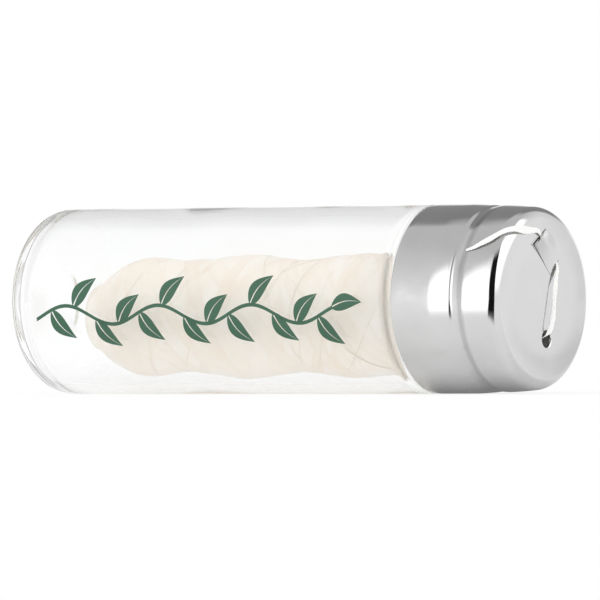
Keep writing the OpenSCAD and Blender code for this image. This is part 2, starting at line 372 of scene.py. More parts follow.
def studio_group(name, top, panels):
    """A node group from a direction to the level of light from there, with this level overhead."""
    group = bpy.data.node_groups.new(name, "ShaderNodeTree")
    group.interface.new_socket("Direction", in_out="INPUT", socket_type="NodeSocketVector")
    group.interface.new_socket("Level", in_out="OUTPUT", socket_type="NodeSocketFloat")
    direction = group.nodes.new("NodeGroupInput").outputs[0]
    axes = axes_of(group, direction)
    front = math_node(group, "MULTIPLY", axes["Y"], -1.0)
    azimuth = math_node(group, "DEGREES", math_node(group, "ARCTAN2", axes["X"], front))
    elevation = math_node(group, "DEGREES", math_node(group, "ARCSINE", axes["Z"]))
    level = map_range(group, elevation, 0.0, OVERHEAD, STUDIO_BASE, top)
    for angle, half_w, soft_w, height, half_h, soft_h, value in panels:
        turned = math_node(group, "WRAP", math_node(group, "SUBTRACT", azimuth, float(angle)), 180.0)
        turned.node.inputs[2].default_value = -180.0
        off_side = math_node(group, "ABSOLUTE", turned)
        off_up = math_node(group, "ABSOLUTE", math_node(group, "SUBTRACT", elevation, float(height)))
        side = map_range(group, off_side, half_w + soft_w / 2, half_w - soft_w / 2, kind="SMOOTHSTEP")
        up = map_range(group, off_up, half_h + soft_h / 2, half_h - soft_h / 2, kind="SMOOTHSTEP")
        level = mix_levels(group, math_node(group, "MULTIPLY", side, up), level, value)
    out = group.nodes.new("NodeGroupOutput")
    group.links.new(level, out.inputs[0])
    return group


def seen_level(tree, direction, studio):
    """The studio's level: as metal shows it, calmer through glass, white to the eye and even as light."""
    level = add(tree, "ShaderNodeGroup", {0: direction}, node_tree=studio).outputs[0]
    paths = add(tree, "ShaderNodeLightPath").outputs
    calm = mix_levels(tree, CALM, level, 1.0)
    metal = mix_levels(tree, paths["Is Glossy Ray"], FILL_LEVEL, level)
    in_glass = math_node(tree, "GREATER_THAN", paths["Transmission Depth"], 0.5)
    through = mix_levels(tree, in_glass, metal, calm)
    return mix_levels(tree, paths["Is Camera Ray"], through, 1.0)


def make_world(sky):
    world = bpy.data.worlds.new("studio")
    world.use_nodes = True
    bpy.context.scene.world = world
    tree = world.node_tree
    tree.nodes.clear()
    level = seen_level(tree, add(tree, "ShaderNodeTexCoord").outputs["Generated"], sky)
    light = add(tree, "ShaderNodeBackground", {"Color": WHITE, "Strength": level})
    show(tree, light.outputs[0], "ShaderNodeOutputWorld")


# The table, in metres, and its own tone, which varies this much
FLOOR_SIDE = 6.0
FLOOR_COLOUR = 0.9
FLOOR_GRAIN = 0.01
# The table's glow fades towards the object between these distances, which count less along the vial. What is
# left beside the object is one share for the eye and a smaller one for metal.
SHADE_NEAR, SHADE_FAR = 0.012, 0.06
SHADE_REACH = (0.6, 1, 0)
GLOW_LEAST, METAL_LEAST = 0.8, 0.4
# The dark line that metal shows under the vial
LINE_NEAR, LINE_FAR = 0.002, 0.008
LINE_LEAST = 0.3
# The share of glow that dull surfaces are lit with
GLOW_ON_DULL = 0.8
# The direction of the table's light is the one from here to the table, mirrored and made steeper
MIRROR_FROM = (0.024, -0.011, 0.01)
MIRROR_TILT = (1, 1, -3)


def glow_share(tree, position):
    """How much of the table's look is glow and not its own shaded surface, for each kind of ray."""
    paths = add(tree, "ShaderNodeLightPath").outputs
    distance = vector_length(tree, stretched(tree, position, SHADE_REACH))
    far = map_range(tree, distance, SHADE_NEAR, SHADE_FAR, GLOW_LEAST, 1.0, "SMOOTHSTEP")
    near = map_range(tree, distance, SHADE_NEAR, SHADE_FAR, METAL_LEAST, 1.0, "SMOOTHSTEP")
    off_line = math_node(tree, "ABSOLUTE", axes_of(tree, position)["Y"])
    beside = map_range(tree, off_line, LINE_NEAR, LINE_FAR, LINE_LEAST, 1.0, "SMOOTHSTEP")
    direct = math_node(tree, "MAXIMUM", paths["Is Camera Ray"], paths["Is Transmission Ray"])
    in_metal = math_node(tree, "MULTIPLY", math_node(tree, "MULTIPLY", near, beside), paths["Is Glossy Ray"])
    share = math_node(tree, "MAXIMUM", math_node(tree, "MULTIPLY", far, direct), in_metal)
    on_dull = math_node(tree, "MULTIPLY", paths["Is Diffuse Ray"], GLOW_ON_DULL)
    return math_node(tree, "MAXIMUM", share, on_dull)


def make_floor(table):
    """A white table that glows: evenly white to the eye, with the studio's soft boxes and dark panels where
    metal and glass mirror it, and as light on dull surfaces. Near the object it keeps its shadow, and further
    off it is as white as the backdrop.
    """
    half = FLOOR_SIDE / 2
    corners = [(-half, -half, 0), (half, -half, 0), (half, half, 0), (-half, half, 0)]
    floor = mesh_object("floor", corners, [(0, 1, 2, 3)])
    material, tree, position = new_material("white_table")
    grain = noise(tree, position, scale=900.0)
    tone = map_range(tree, grain, 0.0, 1.0, FLOOR_COLOUR - FLOOR_GRAIN, FLOOR_COLOUR + FLOOR_GRAIN)
    matt = add(tree, "ShaderNodeBsdfDiffuse", {"Color": tone})
    aim = vector_node(tree, "NORMALIZE", vector_node(tree, "SUBTRACT", position, MIRROR_FROM))
    mirrored = vector_node(tree, "NORMALIZE", stretched(tree, aim, MIRROR_TILT))
    level = seen_level(tree, mirrored, table)
    glow = add(tree, "ShaderNodeEmission", {"Color": WHITE, "Strength": level})
    show(tree, mix_shaders(tree, glow_share(tree, position), matt.outputs[0], glow.outputs[0]))
    material.cycles.emission_sampling = "NONE"
    floor.data.materials.append(material)


# The lamp, in metres and watts
LAMP_AT = Vector((-0.35, -0.45, 0.75))
LAMP_AIM = Vector((0, 0, 0.01))
LAMP_SIDE = 0.5
LAMP_POWER = 1.0


def make_lamp():
    """One soft lamp, which only dull surfaces see."""
    data = bpy.data.lights.new("key_lamp", "AREA")
    data.size = LAMP_SIDE
    data.energy = LAMP_POWER
    lamp = bpy.data.objects.new("key_lamp", data)
    bpy.context.scene.collection.objects.link(lamp)
    lamp.location = LAMP_AT
    lamp.rotation_euler = (LAMP_AT - LAMP_AIM).to_track_quat("Z", "Y").to_euler()
    lamp.visible_camera = False
    lamp.visible_glossy = False
    lamp.visible_transmission = False


make_world(studio_group("sky", STUDIO_TOP, PANELS + SKY_PANELS))
make_floor(studio_group("table", STUDIO_BASE, PANELS + TABLE_PANELS))
make_lamp()


# Sizes of the glass vial, in millimetres

WALL = 1.2
FLOOR_T = 1.6
BASE_ROUND = 3.2
FOOT_W = 2.0
# The base is pushed up by this much, with a flat middle of this radius outside and inside
PUSH_UP = 0.6
PUSH_FLAT_OUT = 2.2
PUSH_FLAT_IN = 2.0
NECK_H = 11.9
NECK_STEP = 2.3
NECK_WALL = 1.0
SHOULDER_ROUND = 0.5
NECK_FILLET = 0.6
LIP_ROUND = 0.35
# How far the straight stretches start after the arcs before them
BARREL_FROM, NECK_FROM = 1.0, 0.1
MOUTH_FROM, INNER_FROM = 0.3, 0.5
# The thread's pitch and height, half its foot, its flank and run-out, and its span along the vial
THREAD_PITCH = 3.0
THREAD_HEIGHT = 0.5
THREAD_HALF = 0.75
THREAD_FLANK = 0.45
THREAD_RUNOUT = 0.8
THREAD_SPAN = (57.0, 63.4)
GLASS_SIDES = 256

SHELF = GLASS_H - NECK_H
INNER_R = VIAL_R - WALL
NECK_R = VIAL_R - NECK_STEP
MOUTH_R = NECK_R - NECK_WALL
INNER_ROUND = BASE_ROUND - 0.6 * WALL


# Sizes of the cap shell, in millimetres: a pressed sheet with a hem, a groove, a hole and a lanced tongue

SHEET_T = 0.3
TOP_ROUND = 1.5
BAND_H = 3.2
BAND_STEP = 0.16
BAND_TAPER = 0.2
# The groove falls over its first stretch, and rises over the rest and the last one past its width
GROOVE_W = 1.9
GROOVE_DEPTH = 0.29
GROOVE_IN = 0.62
GROOVE_OUT = 0.1
# The hem's height, roll, outer edge and gap to the skirt, and how far above it the bare inside starts
HEM_H = 0.8
HEM_ROLL = 0.8 * SHEET_T
HEM_EDGE = 0.15
HEM_GAP = 0.02
HEM_CLEAR = 0.1
# The plate falls this much outside its flat middle, and its first ring is this far in from its edge
PLATE_DROP = 0.1
PLATE_FLAT_R = 6.3
PLATE_FIRST = 0.15
SKIRT_ROLL = 0.14
SKIRT_ROLL_H = 2.6
SHELL_SIDES = 288
SHARP_EDGE = math.radians(35)

HOLE = (0.4, -4.7)
HOLE_R = 0.98
HOLE_LIP = 0.17
HOLE_SIDES = 72

# The tongue's middle, size, angle and slant, and how its root narrows and bows out
TONGUE_MID = (0.6, 5.6)
TONGUE_L = 5.2
TONGUE_W = 3.2
TONGUE_ANGLE = math.radians(-44)
TONGUE_SLANT = 0.14
TONGUE_TAPER = 0.2
TONGUE_BOW = 0.22
# How high its raised end lifts, how fast the lift falls along it, and how steeply it arches from its root
TONGUE_LIFT = 0.42
TONGUE_FALL = 2.6
TONGUE_ARCH = 1.6
# The gap that the lancing leaves round the tongue
LANCE_GAP = 0.05
# How far a cut reaches under and over the plate
CUT_UNDER, CUT_OVER = 1.0, 0.5

GROOVE_TOP = CAP_TOP - TOP_ROUND - BAND_H
GROOVE_LOW = GROOVE_TOP - GROOVE_W
PLATE_EDGE = VIAL_R - BAND_STEP - BAND_TAPER - TOP_ROUND


# Materials. Lengths in them are metres, and scales count to a metre.

GLASS_TINT = (0.995, 0.998, 0.997, 1.0)
GLASS_IOR = 1.5
# What the glass leaves of the light that dull surfaces get through it
GLASS_CLEAR = (0.985, 0.988, 0.985, 1.0)
# Past this many bounces a ray goes straight on, and the glass leaves this of it
GLASS_DEPTH = 6.5
GLASS_FAINT = (0.8, 0.805, 0.8, 1.0)


def glass_material():
    """Clear glass, slightly wavy and faintly smudged. It lets the light on dull surfaces through."""
    material, tree, position = new_material("clear_glass")
    smudge = noise(tree, position, scale=160.0)
    wave = noise(tree, stretched(tree, position, (0.4, 1, 1)), scale=90.0, detail=1.0)
    glass = principled(tree, {
        "Base Color": GLASS_TINT,
        "Roughness": map_range(tree, smudge, 0.5, 0.9, to_low=0.0, to_high=0.03),
        "IOR": GLASS_IOR,
        "Transmission Weight": 1.0,
        "Normal": bumped(tree, wave, distance=0.000008),
    })
    clear = add(tree, "ShaderNodeBsdfTransparent", {"Color": GLASS_CLEAR}).outputs[0]
    faint = add(tree, "ShaderNodeBsdfTransparent", {"Color": GLASS_FAINT}).outputs[0]
    paths = add(tree, "ShaderNodeLightPath").outputs
    deep = math_node(tree, "GREATER_THAN", paths["Ray Depth"], GLASS_DEPTH)
    plain = mix_shaders(tree, deep, glass, faint)
    lit = mix_shaders(tree, paths["Is Diffuse Ray"], plain, clear)
    show(tree, mix_shaders(tree, paths["Is Shadow Ray"], lit, clear))
    return material


# Painted shade along the crimp, in place of the darker reflection there: how far it lies under the groove's
# top, where it fades, and its tone
CRIMP_UNDER = 0.2
CRIMP_NEAR, CRIMP_FAR = 0.0001, 0.0006
CRIMP_SHADE_TONE = 0.76


def steel_material():
    """Polished steel: fine turning marks, faint scratches and smudges, and painted shade along the crimp."""
    material, tree, position = new_material("polished_steel")
    cloud = noise(tree, position, scale=260.0, detail=4.0)
    crimp_x = float(place(GROOVE_TOP - CRIMP_UNDER, 0, 0)[0])
    off = math_node(tree, "ABSOLUTE", math_node(tree, "SUBTRACT", axes_of(tree, position)["X"], crimp_x))
    # The base colour is darker in a band along the crimp: painted shade
    crimp_shade = map_range(tree, off, CRIMP_NEAR, CRIMP_FAR, CRIMP_SHADE_TONE, 1.0, "SMOOTHSTEP")
    marks = noise(tree, stretched(tree, position, (9000, 350, 350)), scale=1.0, detail=2.0)
    scratch = noise(tree, stretched(tree, position, (700, 4000, 600)), scale=1.0, detail=4.0, roughness=0.7)
    dents = noise(tree, position, scale=130.0, detail=1.0)
    tone = map_range(tree, cloud, 0.3, 0.7, to_low=0.64, to_high=0.67)
    worn = math_node(tree, "ADD", cloud, scratch)
    show(tree, principled(tree, {
        "Base Color": math_node(tree, "MULTIPLY", tone, crimp_shade),
        "Metallic": 1.0,
        "Roughness": map_range(tree, worn, 0.8, 1.3, to_low=0.05, to_high=0.14),
        "Normal": bumped(tree, marks, distance=0.0000004, normal=bumped(tree, dents, distance=0.00002)),
    }))
    return material


# Painted shade in the insert's floss hole: its radius and where it has faded out
HOLE_SHADE_R, HOLE_SHADE_END = 0.0011, 0.0014
HOLE_SHADE_COLOUR = (112, 112, 109)


def plastic_material():
    """White plastic, painted dark in the hole that the floss runs through, as shade inside the hole."""
    material, tree, position = new_material("white_plastic")
    cloud = noise(tree, position, scale=320.0)
    unshaded = blend_colours(tree, cloud, colour(232, 231, 225), colour(240, 240, 236))
    from_hole = vector_node(tree, "SUBTRACT", position, place(0, *HOLE))
    off = vector_length(tree, stretched(tree, from_hole, (0, 1, 1)))
    # The wall of the floss hole is painted dark: painted shade, not a stain
    hole_shade = map_range(tree, off, HOLE_SHADE_R, HOLE_SHADE_END)
    grain = noise(tree, position, scale=5200.0, detail=2.0)
    show(tree, principled(tree, {
        "Base Color": blend_colours(tree, hole_shade, colour(*HOLE_SHADE_COLOUR), unshaded),
        "Roughness": map_range(tree, grain, 0.0, 1.0, to_low=0.35, to_high=0.5),
        "Normal": bumped(tree, grain, distance=0.000004),
        "Subsurface Weight": 0.1,
        "Subsurface Radius": (0.001, 0.001, 0.0008),
    }))
    return material


def foam_material():
    """Cream foam with fine cells."""
    material, tree, position = new_material("seal_foam")
    cells = add(tree, "ShaderNodeTexVoronoi", {"Vector": position, "Scale": 6500.0}).outputs["Distance"]
    show(tree, principled(tree, {
        "Base Color": blend_colours(tree, cells, colour(226, 221, 205), colour(238, 235, 224)),
        "Roughness": map_range(tree, cells, 0.0, 1.0, to_low=0.6, to_high=0.75),
        "Normal": bumped(tree, cells, distance=0.00002),
    }))
    return material


def silk_material(name, pale, deep):
    """Silk floss: fine fibres run along each band. The mesh says where a point lies in its band, and gives
    each band a tone that is painted darker at its edges as shade between bands.
    """
    material, tree, position = new_material(name)
    fibre = add(tree, "ShaderNodeAttribute", attribute_name="fibre").outputs["Vector"]
    streaks = noise(tree, stretched(tree, fibre, (9.0, 0.35, 40.0)), scale=1.0, detail=4.0, roughness=0.6)
    cloud = noise(tree, position, scale=150.0)
    streaky = math_node(tree, "MULTIPLY", streaks, 0.25)
    cloudy = math_node(tree, "MULTIPLY", cloud, 0.75)
    tone_and_shade = math_node(tree, "ADD", math_node(tree, "ADD", streaky, cloudy), axes_of(tree, fibre)["Z"])
    show(tree, principled(tree, {
        "Base Color": blend_colours(tree, map_range(tree, tone_and_shade, 0.25, 0.85), pale, deep),
        "Roughness": map_range(tree, streaks, 0.2, 0.8, to_low=0.42, to_high=0.6),
        "Normal": bumped(tree, streaks, distance=0.00002),
        "Sheen Weight": 0.3,
        "Sheen Roughness": 0.4,
        "Subsurface Weight": 0.15,
        "Subsurface Radius": (0.0012, 0.001, 0.0007),
    }))
    return material


def print_material():
    """The green enamel of the print."""
    material, tree, position = new_material("green_enamel")
    cloud = noise(tree, position, scale=420.0)
    show(tree, principled(tree, {
        "Base Color": blend_colours(tree, cloud, colour(46, 88, 66), colour(60, 105, 80)),
        "Roughness": map_range(tree, cloud, 0.0, 1.0, to_low=0.28, to_high=0.4),
        "Normal": bumped(tree, noise(tree, position, scale=3800.0, detail=2.0), distance=0.000003),
    }))
    return material


# The free floss strand: out of the spool's hole, through the cap, under the tongue and over the edge

# Each point is across the cap, up the cap, and its height over the cap's plate.
STRAND_ROUTE = [
    (0, 0, -28), (0, 0, -24), (0, 0, -20), (0, 0, -16),
    (0, -0.2, -13), (0.1, -1.2, -10), (0.2, -2.7, -7.2), (0.3, -4, -4.8),
    (0.4, -4.6, -2.8), (0.4, -4.7, -1.2), (0.3, -4.4, -0.2), (0.3, -4, 0.3),
    (0.5, -3.3, 0.56), (0.85, -2.2, 0.6), (1.1, -1.1, 0.56), (1.3, 0, 0.5),
    (1.6, 1.3, 0.45), (2.15, 2.6, 0.33), (2.6, 3.6, 0.18), (2.75, 4.4, -0.2),
    (2, 5.3, -0.45), (1, 6, -0.48), (0, 6.8, -0.3), (-0.7, 7.3, -0.03), (-1.3, 7.6, 0.15),
    (-2, 7.85, 0.2), (-3.7, 7.85, 0.22), (-5.4, 7.95, 0.1), (-6.5, 8, -0.26),
    (-7.3, 7.8, -0.84), (-8, 7.35, -1.5), (-8.5, 6.85, -2.2), (-8.9, 6.4, -3),
    (-9.25, 5.9, -3.9), (-9.4, 5.6, -4.8),
]
STRAND_W = 0.62
STRAND_T = 0.13
STRAND_STEPS = 10
FACING_BLURS = 10
# Below this height it is inside the cap, and from this radius it bends over the rim, in this distance
INSIDE_BELOW = -1
RIM_FROM, RIM_BEND = 9, 1.8
# Between the hole and the tongue it hangs free: from and to where, how softly, and how far it leans
FREE_FROM, FREE_TO = -4.4, 3.2
FREE_EASE_IN, FREE_EASE_OUT = 1.5, 2.5
FREE_LEAN = -0.75
# Where along its length it is pinched, spreads and thins out
PINCH_AT, SPREAD_FROM, TIP_FROM = 0.62, 0.72, 0.9


def spline(points, steps):
    """A smooth curve through the points, with this many steps to a span."""
    p = np.array(points, float)
    curve = []
    for i in range(len(p) - 1):
        a, b, c, d = p[max(i - 1, 0)], p[i], p[i + 1], p[min(i + 2, len(p) - 1)]
        square = 2 * a - 5 * b + 4 * c - d
        cube = 3 * b - a - 3 * c + d
        curve += [(2 * b + (c - a) * t + square * t**2 + cube * t**3) / 2 for t in np.arange(steps) / steps]
    return np.array(curve + [p[-1]])


def strand_facing(p):
    """Which way the flat side faces: down inside the vial, off the plate, then off the band."""
    r = math.hypot(p[0], p[1])
    if r < RIM_FROM and p[2] < INSIDE_BELOW:
        return np.array([0, -1.0, 0])
    over = min(max((r - RIM_FROM) / RIM_BEND, 0), 1)
    free = smooth((p[1] - FREE_FROM) / FREE_EASE_IN) * smooth((FREE_TO - p[1]) / FREE_EASE_OUT)
    return np.array([FREE_LEAN * free, 0, 1 - over]) + over * np.array([p[0], p[1], 0]) / max(r, 1)


def make_strand():
    path = spline(STRAND_ROUTE, STRAND_STEPS)
    facing = np.array([strand_facing(p) for p in path])
    for _ in range(FACING_BLURS):
        facing[1:-1] = (facing[:-2] + facing[1:-1] + facing[2:]) / 3
    t = np.linspace(0, 1, len(path))
    spread = 1 + 0.1 * np.sin(41 * t) + 0.05 * np.sin(97 * t + 1) + 0.5 * smooth((t - SPREAD_FROM) / 0.06)
    tip = 1 - 0.65 * smooth((t - TIP_FROM) / 0.1)
    pinch = 1 - 0.3 * np.exp(-((t - PINCH_AT) / 0.03) ** 2)
    thicknesses = STRAND_T * (1 + 0.15 * np.sin(59 * t + 2))
    points, faces = ribbon(path, facing, STRAND_W * spread * tip * pinch, thicknesses)
    rings = place(CAP_TOP + points[:, 2], points[:, 0], points[:, 1])
    strand = mesh_object("floss_strand_ribbon", rings, faces)
    strand_path = place(CAP_TOP + path[:, 2], path[:, 0], path[:, 1])
    waxed = silk_material("waxed_strand", colour(255, 255, 254), colour(248, 248, 245))
    dress(strand, waxed, "cap")
    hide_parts("floss_strand")
    place(CAP_TOP, HOLE[0], HOLE[1])


make_strand()


# The glass vial

def push_up(r, flat, reach):
    """Height of the pushed-up base at a radius: full out to the flat middle, and none from its reach on."""
    share = min(max((r - flat) / (reach - flat), 0), 1)
    return PUSH_UP * (1 + math.cos(math.pi * share)) / 2


def glass_outside():
    """Outline from the middle of the base, out, and up to the top of the lip."""
    foot = VIAL_R - BASE_ROUND - FOOT_W
    outline = [(push_up(r, PUSH_FLAT_OUT, foot), r) for r in np.linspace(0, foot, 20)]
    outline += arc(BASE_ROUND, VIAL_R - BASE_ROUND, BASE_ROUND, -90, 0, 24)
    outline += line((BASE_ROUND + BARREL_FROM, VIAL_R), (SHELF - SHOULDER_ROUND, VIAL_R), 50)
    outline += arc(SHELF - SHOULDER_ROUND, VIAL_R - SHOULDER_ROUND, SHOULDER_ROUND, 0, 90, 8)
    outline += arc(SHELF + NECK_FILLET, NECK_R + NECK_FILLET, NECK_FILLET, 270, 180, 8)
    outline += line((SHELF + NECK_FILLET + NECK_FROM, NECK_R), (GLASS_H - LIP_ROUND, NECK_R), 90)
    outline += arc(GLASS_H - LIP_ROUND, NECK_R - LIP_ROUND, LIP_ROUND, 0, 90, 8)
    return outline


def glass_inside():
    """Outline from the top of the lip, down the neck and the barrel, to the middle of the floor."""
    bend = (INNER_R - MOUTH_R) / 2
    under = SHELF + WALL - 3 * bend
    reach = INNER_R - INNER_ROUND
    outline = arc(GLASS_H - LIP_ROUND, MOUTH_R + LIP_ROUND, LIP_ROUND, 90, 180, 8)
    outline += line((GLASS_H - LIP_ROUND - MOUTH_FROM, MOUTH_R), (SHELF + WALL, MOUTH_R), 12)
    outline += arc(SHELF + WALL - bend, MOUTH_R + bend, bend, 180, 270, 10)
    outline += arc(under, INNER_R - bend, bend, 90, 0, 10)
    outline += line((under - INNER_FROM, INNER_R), (FLOOR_T + INNER_ROUND, INNER_R), 40)
    outline += arc(FLOOR_T + INNER_ROUND, reach, INNER_ROUND, 0, -90, 20)
    outline += [(FLOOR_T + push_up(r, PUSH_FLAT_IN, reach), r) for r in np.linspace(reach, 0, 16)[1:]]
    return outline


def thread(along, angles):
    """Height of the screw thread's ridge on the neck."""
    first, last = THREAD_SPAN
    turn = (along - first) / THREAD_PITCH - angles / (2 * math.pi)
    off = np.abs(turn - np.round(turn)) * THREAD_PITCH
    middle = first + THREAD_PITCH * (np.round(turn) + angles / (2 * math.pi))
    ends = smooth((middle - first) / THREAD_RUNOUT) * smooth((last - middle) / THREAD_RUNOUT)
    return THREAD_HEIGHT * ends * smooth((THREAD_HALF - off) / THREAD_FLANK)


def make_vial():
    outside = glass_outside()

    def swell(along, radius, angles, step):
        """The thread on the outside of the neck, and a slight unevenness of the wall inside."""
        if step < len(outside):
            on_neck = SHELF + NECK_FILLET < along < GLASS_H - LIP_ROUND
            return thread(along, angles) if on_neck else 0 * angles
        bow = 0.03 * np.sin(0.23 * along + 1.0) + 0.02 * np.sin(0.41 * along + 2 * angles)
        return bow * min(1.0, radius / INNER_R) ** 8

    vial = lathe("glass_body", outside + glass_inside(), GLASS_SIDES, swell, closed=False)
    dress(vial, glass_material(), "vial")
    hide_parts("glass_vial")


make_vial()


# The cap shell

def plate_height(r):
    """The plate is flat in the middle and falls a little towards its rounded edge."""
    return CAP_TOP - PLATE_DROP * np.clip((r - PLATE_FLAT_R) / (PLATE_EDGE - PLATE_FLAT_R), 0, None) ** 2


def shell_outline():
    """Outer line of the shell, from the open edge to the middle of the plate."""
    roll_start = GROOVE_LOW - SKIRT_ROLL_H
    points = [(s, VIAL_R) for s in np.linspace(SKIRT_END + HEM_EDGE, roll_start, 8)]
    points += [
        (roll_start + SKIRT_ROLL_H * t, VIAL_R - SKIRT_ROLL * t**1.5) for t in np.linspace(0.05, 0.95, 18)
    ]
    skirt = VIAL_R - SKIRT_ROLL
    low = VIAL_R - GROOVE_DEPTH
    points += [
        (GROOVE_LOW + GROOVE_IN * t, skirt + (low - skirt) * half_wave(t)) for t in np.linspace(0, 1, 16)
    ]
    band = VIAL_R - BAND_STEP
    band_start = GROOVE_TOP + GROOVE_OUT
    rise = band_start - GROOVE_LOW - GROOVE_IN
    points += [
        (band_start - rise * (1 - t), low + (band - low) * half_wave(t)) for t in np.linspace(0.04, 1, 25)
    ]
    band_end = CAP_TOP - TOP_ROUND
    band_h = band_end - band_start
    points += [
        (band_start + band_h * t, band - BAND_TAPER * t * (1 + t) / 2) for t in np.linspace(0.05, 0.97, 16)
    ]
    band_slope = math.degrees(math.atan(1.5 * BAND_TAPER / band_h))
    plate_slope = math.degrees(math.atan(2 * PLATE_DROP / (PLATE_EDGE - PLATE_FLAT_R)))
    points += arc(band_end - PLATE_DROP, PLATE_EDGE, TOP_ROUND, band_slope, 90 - plate_slope, 28)
    points += [(plate_height(r), r) for r in np.linspace(PLATE_EDGE - PLATE_FIRST, 0, 40)]
    return points


def inner_line(points, tone_and_shade):
    """The same line a sheet's thickness inside, by the line's own normals."""
    p = np.array(points)
    t = unit(np.gradient(p, axis=0))
    inner = p + tone_and_shade * np.stack([t[:, 1], -t[:, 0]], -1)
    inner[-1] = (p[-1][0] - tone_and_shade, 0)
    return [tuple(q) for q in inner]


def hem_outline():
    """The sheet rolled inward at the open edge, from inside the skirt round to its outside."""
    top = SKIRT_END + HEM_H
    inside = VIAL_R - SHEET_T
    return (
        [(top, inside), (top, inside - HEM_GAP)]
        + arc(top - HEM_ROLL, inside - HEM_ROLL, HEM_ROLL, 90, 180, 6)
        + arc(SKIRT_END + HEM_ROLL, inside - HEM_ROLL, HEM_ROLL, 180, 270, 6)
        + arc(SKIRT_END + HEM_EDGE, VIAL_R - HEM_EDGE, HEM_EDGE, -90, 0, 6)[:-1]
    )


def tongue_point(l, w):
    """A point of the cap's top, l along the tongue from its raised end and w across it from its free side."""
    a = (l - 0.5 + TONGUE_SLANT * w * (1 - l)) * TONGUE_L
    b = (w - 0.5) * TONGUE_W
    c, s = math.cos(TONGUE_ANGLE), math.sin(TONGUE_ANGLE)
    return TONGUE_MID[0] + a * c - b * s, TONGUE_MID[1] + a * s + b * c


def crease(l):
    """How far across the bent root lies: it narrows towards the tip and bows out between."""
    return 1 - TONGUE_TAPER * l + TONGUE_BOW * 4 * l * (1 - l)


def tongue_lift(l, w):
    """The tongue arches up from its crease and lifts towards its raised end."""
    rest = np.clip(TONGUE_ARCH * (1 - w / crease(l)), 0, 1)
    return TONGUE_LIFT * (1 - l) ** TONGUE_FALL * np.sin(math.pi / 2 * rest)


def tongue_window():
    """The ring round the tongue: a gap wider on its three cut sides, and along the crease on the fourth."""
    l0, w0 = LANCE_GAP / TONGUE_L, LANCE_GAP / TONGUE_W
    ring = [(-l0, 1.0), (-l0, -w0), (1 + l0, -w0), (1 + l0, crease(1))]
    ring += [(l, crease(l)) for l in np.linspace(1, 0, 24)]
    return [tongue_point(l, w) for l, w in ring]


def plate_cutter(name, ring):
    """A prism through the plate over a ring of points."""
    n = len(ring)
    points = [place(s, u, v) for s in (CAP_TOP - CUT_UNDER, CAP_TOP + CUT_OVER) for u, v in ring]
    faces = [tuple(range(n)), tuple(range(2 * n - 1, n - 1, -1))]
    faces += [(j, (j + 1) % n, (j + 1) % n + n, j + n)[::-1] for j in range(n)]
    return mesh_object(name, points, faces)


def hole_lip():
    """The punched hole's edge, pressed round."""
    n = HOLE_SIDES
    profile = [(HOLE_R + HOLE_LIP, 0.0)]
    profile += [
        (HOLE_R + HOLE_LIP * (1 - math.sin(a)), -HOLE_LIP * (1 - math.cos(a)))
        for a in np.linspace(0, math.pi / 2, 7)[1:]
    ]
    profile += [(HOLE_R, -SHEET_T), (HOLE_R + HOLE_LIP, -SHEET_T)]
    points = [place(CAP_TOP + h, u, v) for r, h in profile for u, v in circle(HOLE, r, n)]
    m = len(profile)
    faces = [
        (i * n + j, i * n + (j + 1) % n, (i + 1) % m * n + (j + 1) % n, (i + 1) % m * n + j)
        for i in range(m) for j in range(n)
    ]
    return mesh_object("hole_lip", points, faces)


def tongue_sheet():
    """The tongue as a thin bent sheet: its top, its underside and the rim between them."""
    rows, cols = 48, 32
    skin = []
    for tone_and_shade in (0.0, SHEET_T):
        for l in np.linspace(0, 1, rows + 1):
            for c in np.linspace(0, 1, cols + 1):
                w = c * crease(l)
                u, v = tongue_point(l, w)
                skin.append(place(plate_height(math.hypot(u, v)) - tone_and_shade + tongue_lift(l, w), u, v))
    row, under = cols + 1, (rows + 1) * (cols + 1)
    top = [
        (i * row + j, i * row + j + 1, (i + 1) * row + j + 1, (i + 1) * row + j)
        for i in range(rows) for j in range(cols)
    ]
    rim = [(j, j + 1) for j in range(cols)]
    rim += [(i * row + cols, (i + 1) * row + cols) for i in range(rows)]
    rim += [(rows * row + j + 1, rows * row + j) for j in range(cols - 1, -1, -1)]
    rim += [((i + 1) * row, i * row) for i in range(rows - 1, -1, -1)]
    faces = [f[::-1] for f in top] + [tuple(k + under for k in f) for f in top]
    faces += [(a, b, b + under, a + under) for a, b in rim]
    return mesh_object("tongue_sheet", skin, faces)


def make_cap():
    outer = shell_outline()
    inner = inner_line(outer, SHEET_T)
    in_hem = sum(1 for s, _ in inner if s < SKIRT_END + HEM_H + HEM_CLEAR)
    outline = outer + inner[:in_hem - 1:-1] + hem_outline()
    shell = outward(lathe("shell", outline, SHELL_SIDES))
    cut(shell, plate_cutter("window_cutter", tongue_window()))
    cut(shell, plate_cutter("hole_cutter", circle(HOLE, HOLE_R + HOLE_LIP, HOLE_SIDES)))
    cap = join([shell, outward(tongue_sheet()), outward(hole_lip())], "steel_cap")
    cap.data.set_sharp_from_angle(angle=SHARP_EDGE)
    dress(cap, steel_material(), "cap")
    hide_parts("cap_shell")


make_cap()


# The wound spool of silk

SPOOL_L = SPOOL_HIGH - SPOOL_LOW
SPOOL_HOLE_R = 3.4
# The largest radius, which the waves and the ends below take from
RIM_R = 7.5
# The radius swings in waves along the spool: its mean and depth as shares of the rim, then a crest and the
# length of a wave as shares of the spool's length
SWELL_MEAN, SWELL_DEPTH = 0.945, 0.045
SWELL_CREST, SWELL_WAVE = 0.45, 0.345
# Each end narrows over this share of the length: the low one by its cut, the high one to its least
LOW_SHARE, LOW_CUT, LOW_CURVE = 0.17, 0.45, 1.6
HIGH_SHARE, HIGH_LEAST = 0.08, 0.62
# The grid that the bands of floss lie on, their number, and how often they are blurred
SPOOL_ROWS, SPOOL_COLS = 420, 480
BANDS = 130
BAND_BLURS = 6
